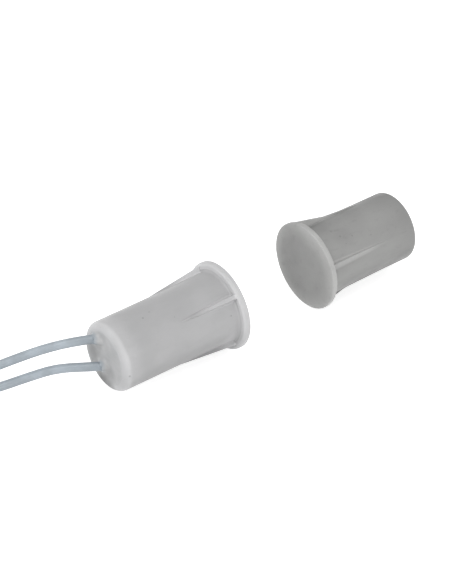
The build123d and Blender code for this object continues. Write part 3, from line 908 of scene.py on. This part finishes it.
class CONTACT_OT_wires(Operator):
    """Lays the two wires from the resin through the tied hank to their bare tips"""

    bl_idname = "contact.wires"
    bl_label = "Wires"

    def execute(self, context):
        wires = context.scene.contact_wires
        jacket = insulation("wire_insulation", wires.colour)
        tinned = worked_metal("tinned_strands", (0.74, 0.73, 0.71), 0.28, 6, (0.3, 1, 1), 0.01)
        tie = self.tie(tie_nylon("tie_nylon", (0.78, 0.78, 0.75)))
        # Each wire's letter, routes, upper and lower layer in the hank, and what lies on it
        runs = (
            ("a", WIRE_A_LEAD, WIRE_A_TAIL, 3, 1, [tie]),
            ("b", WIRE_B_LEAD, WIRE_B_TAIL, 2, 0, []),
        )
        for letter, lead, tail, upper, lower, extra in runs:
            points = [*lead, *folded_turns(wires, upper, lower), *tail]
            nodes = [f"wire_{letter}", "wire_hank", f"tail_{letter}"]
            wire = wire_curve(f"wire_{letter}_insulated", points, wires.diameter, jacket, nodes)
            heading = (Vector(tail[-1]) - Vector(tail[-2])).normalized()
            tip = bare_tip(
                f"wire_{letter}_strands", f"tip_{letter}", heading, wires.strands, tinned
            )
        return {"FINISHED"}

    def tie(self, material):
        """The strap, its head with the slot, and the cut end that comes out of it."""
        middle = (TIE_LOW + TIE_HIGH) / 2
        strap_width, thickness = 2.5 * MM, 0.5 * MM
        half_width = (TIE_HIGH.y - TIE_LOW.y) / 2 - thickness
        half_x, half_y = (TIE_HIGH.x - TIE_LOW.x) / 2, 1.7 * MM
        wall, lip, overlap = 0.35 * MM, 0.45 * MM, 0.1 * MM
        head_low, head_high = TIE_HIGH.z - 1.6 * MM, TIE_HIGH.z
        slot_low, slot_high = head_low + lip, head_high - lip
        wall_low, wall_high = slot_low - overlap, slot_high + overlap
        end_low, end_high = slot_low + overlap, slot_high - overlap
        end_x, end_y = 1.1 * MM, half_y + 0.7 * MM
        mesh = bmesh.new()
        band_top = head_low + thickness / 2
        tie_band(mesh, middle, strap_width, thickness, half_width, TIE_LOW.z, band_top)
        blocks = (
            ((-half_x, -half_y, head_low), (half_x, half_y, slot_low)),
            ((-half_x, -half_y, slot_high), (half_x, half_y, head_high)),
            ((-half_x, -half_y, wall_low), (wall - half_x, half_y, wall_high)),
            ((half_x - wall, -half_y, wall_low), (half_x, half_y, wall_high)),
            ((-end_x, -end_y, end_low), (end_x, half_y * 0.6, end_high)),
        )
        shift = Vector((middle.x, middle.y, 0))
        for low, high in blocks:
            rounded_block(mesh, Vector(low) + shift, Vector(high) + shift, 0.09 * MM)
        bmesh.ops.recalc_face_normals(mesh, faces=mesh.faces)
        return piece_from("cable_tie", mesh, material, "tie_plastic", "hank_tie")


class CONTACT_OT_housings(Operator):
    """Finishes the two moulded halves and pours the resin in their rear ends"""

    bl_idname = "contact.housings"
    bl_label = "Housings"

    def execute(self, context):
        looks = context.scene.contact_housings
        halves = (
            ("switch", looks.switch_colour, SWITCH_HALF),
            ("magnet", looks.magnet_colour, MAGNET_HALF),
        )
        for name, colour, half in halves:
            plastic = moulded_plastic(f"{name}_plastic", colour, looks.roughness, half)
            dress(f"{name}_housing", plastic)
        roots = [self.root(lead) for lead in (WIRE_A_LEAD, WIRE_B_LEAD)]
        # Each collar's tone is centred just outside the rear end, a little the way the wire leans
        collars = [(SWITCH_LOW.x / MM - 0.5, *(place + lean * 0.1)) for place, lean in roots]
        wire_colour = context.scene.contact_wires.colour
        resin = potting_resin("potting_resin", looks.resin_colour, collars, wire_colour)
        resin_face("switch_resin", SWITCH_LOW.x, -1, roots, resin, "potting", 3)
        resin_face("magnet_resin", MAGNET_HIGH.x, 1, [], resin, "magnet_potting", 11)
        return {"FINISHED"}

    def root(self, lead):
        """Where a wire leaves the resin across the axis, and the way it leans, in millimetres."""
        start, onward = Vector(lead[0]), Vector(lead[1]) - Vector(lead[0])
        leaves = start + onward * ((SWITCH_LOW.x - start.x) / onward.x)
        lean = Vector((onward.y, onward.z)).normalized()
        return Vector((leaves.y, leaves.z)) / MM, lean


class CONTACT_OT_inside(Operator):
    """Finishes what the two halves hold: the reed switch, its joints and the bar magnet"""

    bl_idname = "contact.inside"
    bl_label = "Inside"

    def execute(self, context):
        reed = worked_metal("reed_alloy", (0.66, 0.63, 0.58), 0.3, 5, (0.08, 1, 1), 0.01)
        sleeve = soft_sleeve("soft_sleeve", (0.72, 0.71, 0.67))
        solder = worked_metal("solder", (0.7, 0.7, 0.71), 0.24, 4, (1, 1, 1), 0.02)
        copper = worked_metal("copper_strands", (0.72, 0.42, 0.28), 0.3, 8, (0.15, 1, 1), 0.02)
        magnet = worked_metal("magnet_alloy", (0.34, 0.33, 0.32), 0.5, 7, (1, 1, 1), 0.02)
        dress("capsule_glass", clear_glass("capsule_glass", (0.86, 0.93, 0.88)))
        finishes = {
            reed: ("reed_front", "reed_rear"),
            sleeve: ("capsule_sleeve", "return_sleeve"),
            solder: ("solder_joint_a", "solder_joint_b"),
            copper: ("conductor_a", "conductor_b"),
            magnet: ("bar_magnet",),
        }
        for material, nodes in finishes.items():
            for node in nodes:
                dress(node, material)
        return {"FINISHED"}


class CONTACT_PT_panel(Panel):
    """Lists the contact's operators and settings"""

    bl_idname = "CONTACT_PT_panel"
    bl_label = "Recessed contact"
    bl_space_type = "VIEW_3D"
    bl_region_type = "UI"
    bl_category = "Contact"

    def draw(self, context):
        groups = (
            (context.scene.contact_stage, CONTACT_OT_stage),
            (context.scene.contact_wires, CONTACT_OT_wires),
            (context.scene.contact_housings, CONTACT_OT_housings),
            (None, CONTACT_OT_inside),
        )
        for settings, operator in groups:
            box = self.layout.box()
            if settings:
                for name in settings.bl_rna.properties.keys():
                    if name not in ("rna_type", "name"):
                        box.prop(settings, name)
            box.operator(operator.bl_idname)


SETTINGS = {
    "contact_stage": StageSettings,
    "contact_housings": HousingSettings,
    "contact_wires": WireSettings,
}
CLASSES = (
    *SETTINGS.values(),
    CONTACT_OT_stage,
    CONTACT_OT_wires,
    CONTACT_OT_housings,
    CONTACT_OT_inside,
    CONTACT_PT_panel,
)


def register():
    for made in CLASSES:
        bpy.utils.register_class(made)
    for name, group in SETTINGS.items():
        setattr(bpy.types.Scene, name, PointerProperty(type=group))


def unregister():
    for name in SETTINGS:
        delattr(bpy.types.Scene, name)
    for made in reversed(CLASSES):
        bpy.utils.unregister_class(made)


def main():
    register()
    bpy.ops.contact.stage()
    bpy.ops.contact.wires()
    bpy.ops.contact.housings()
    bpy.ops.contact.inside()


if __name__ == "__main__":
    main()
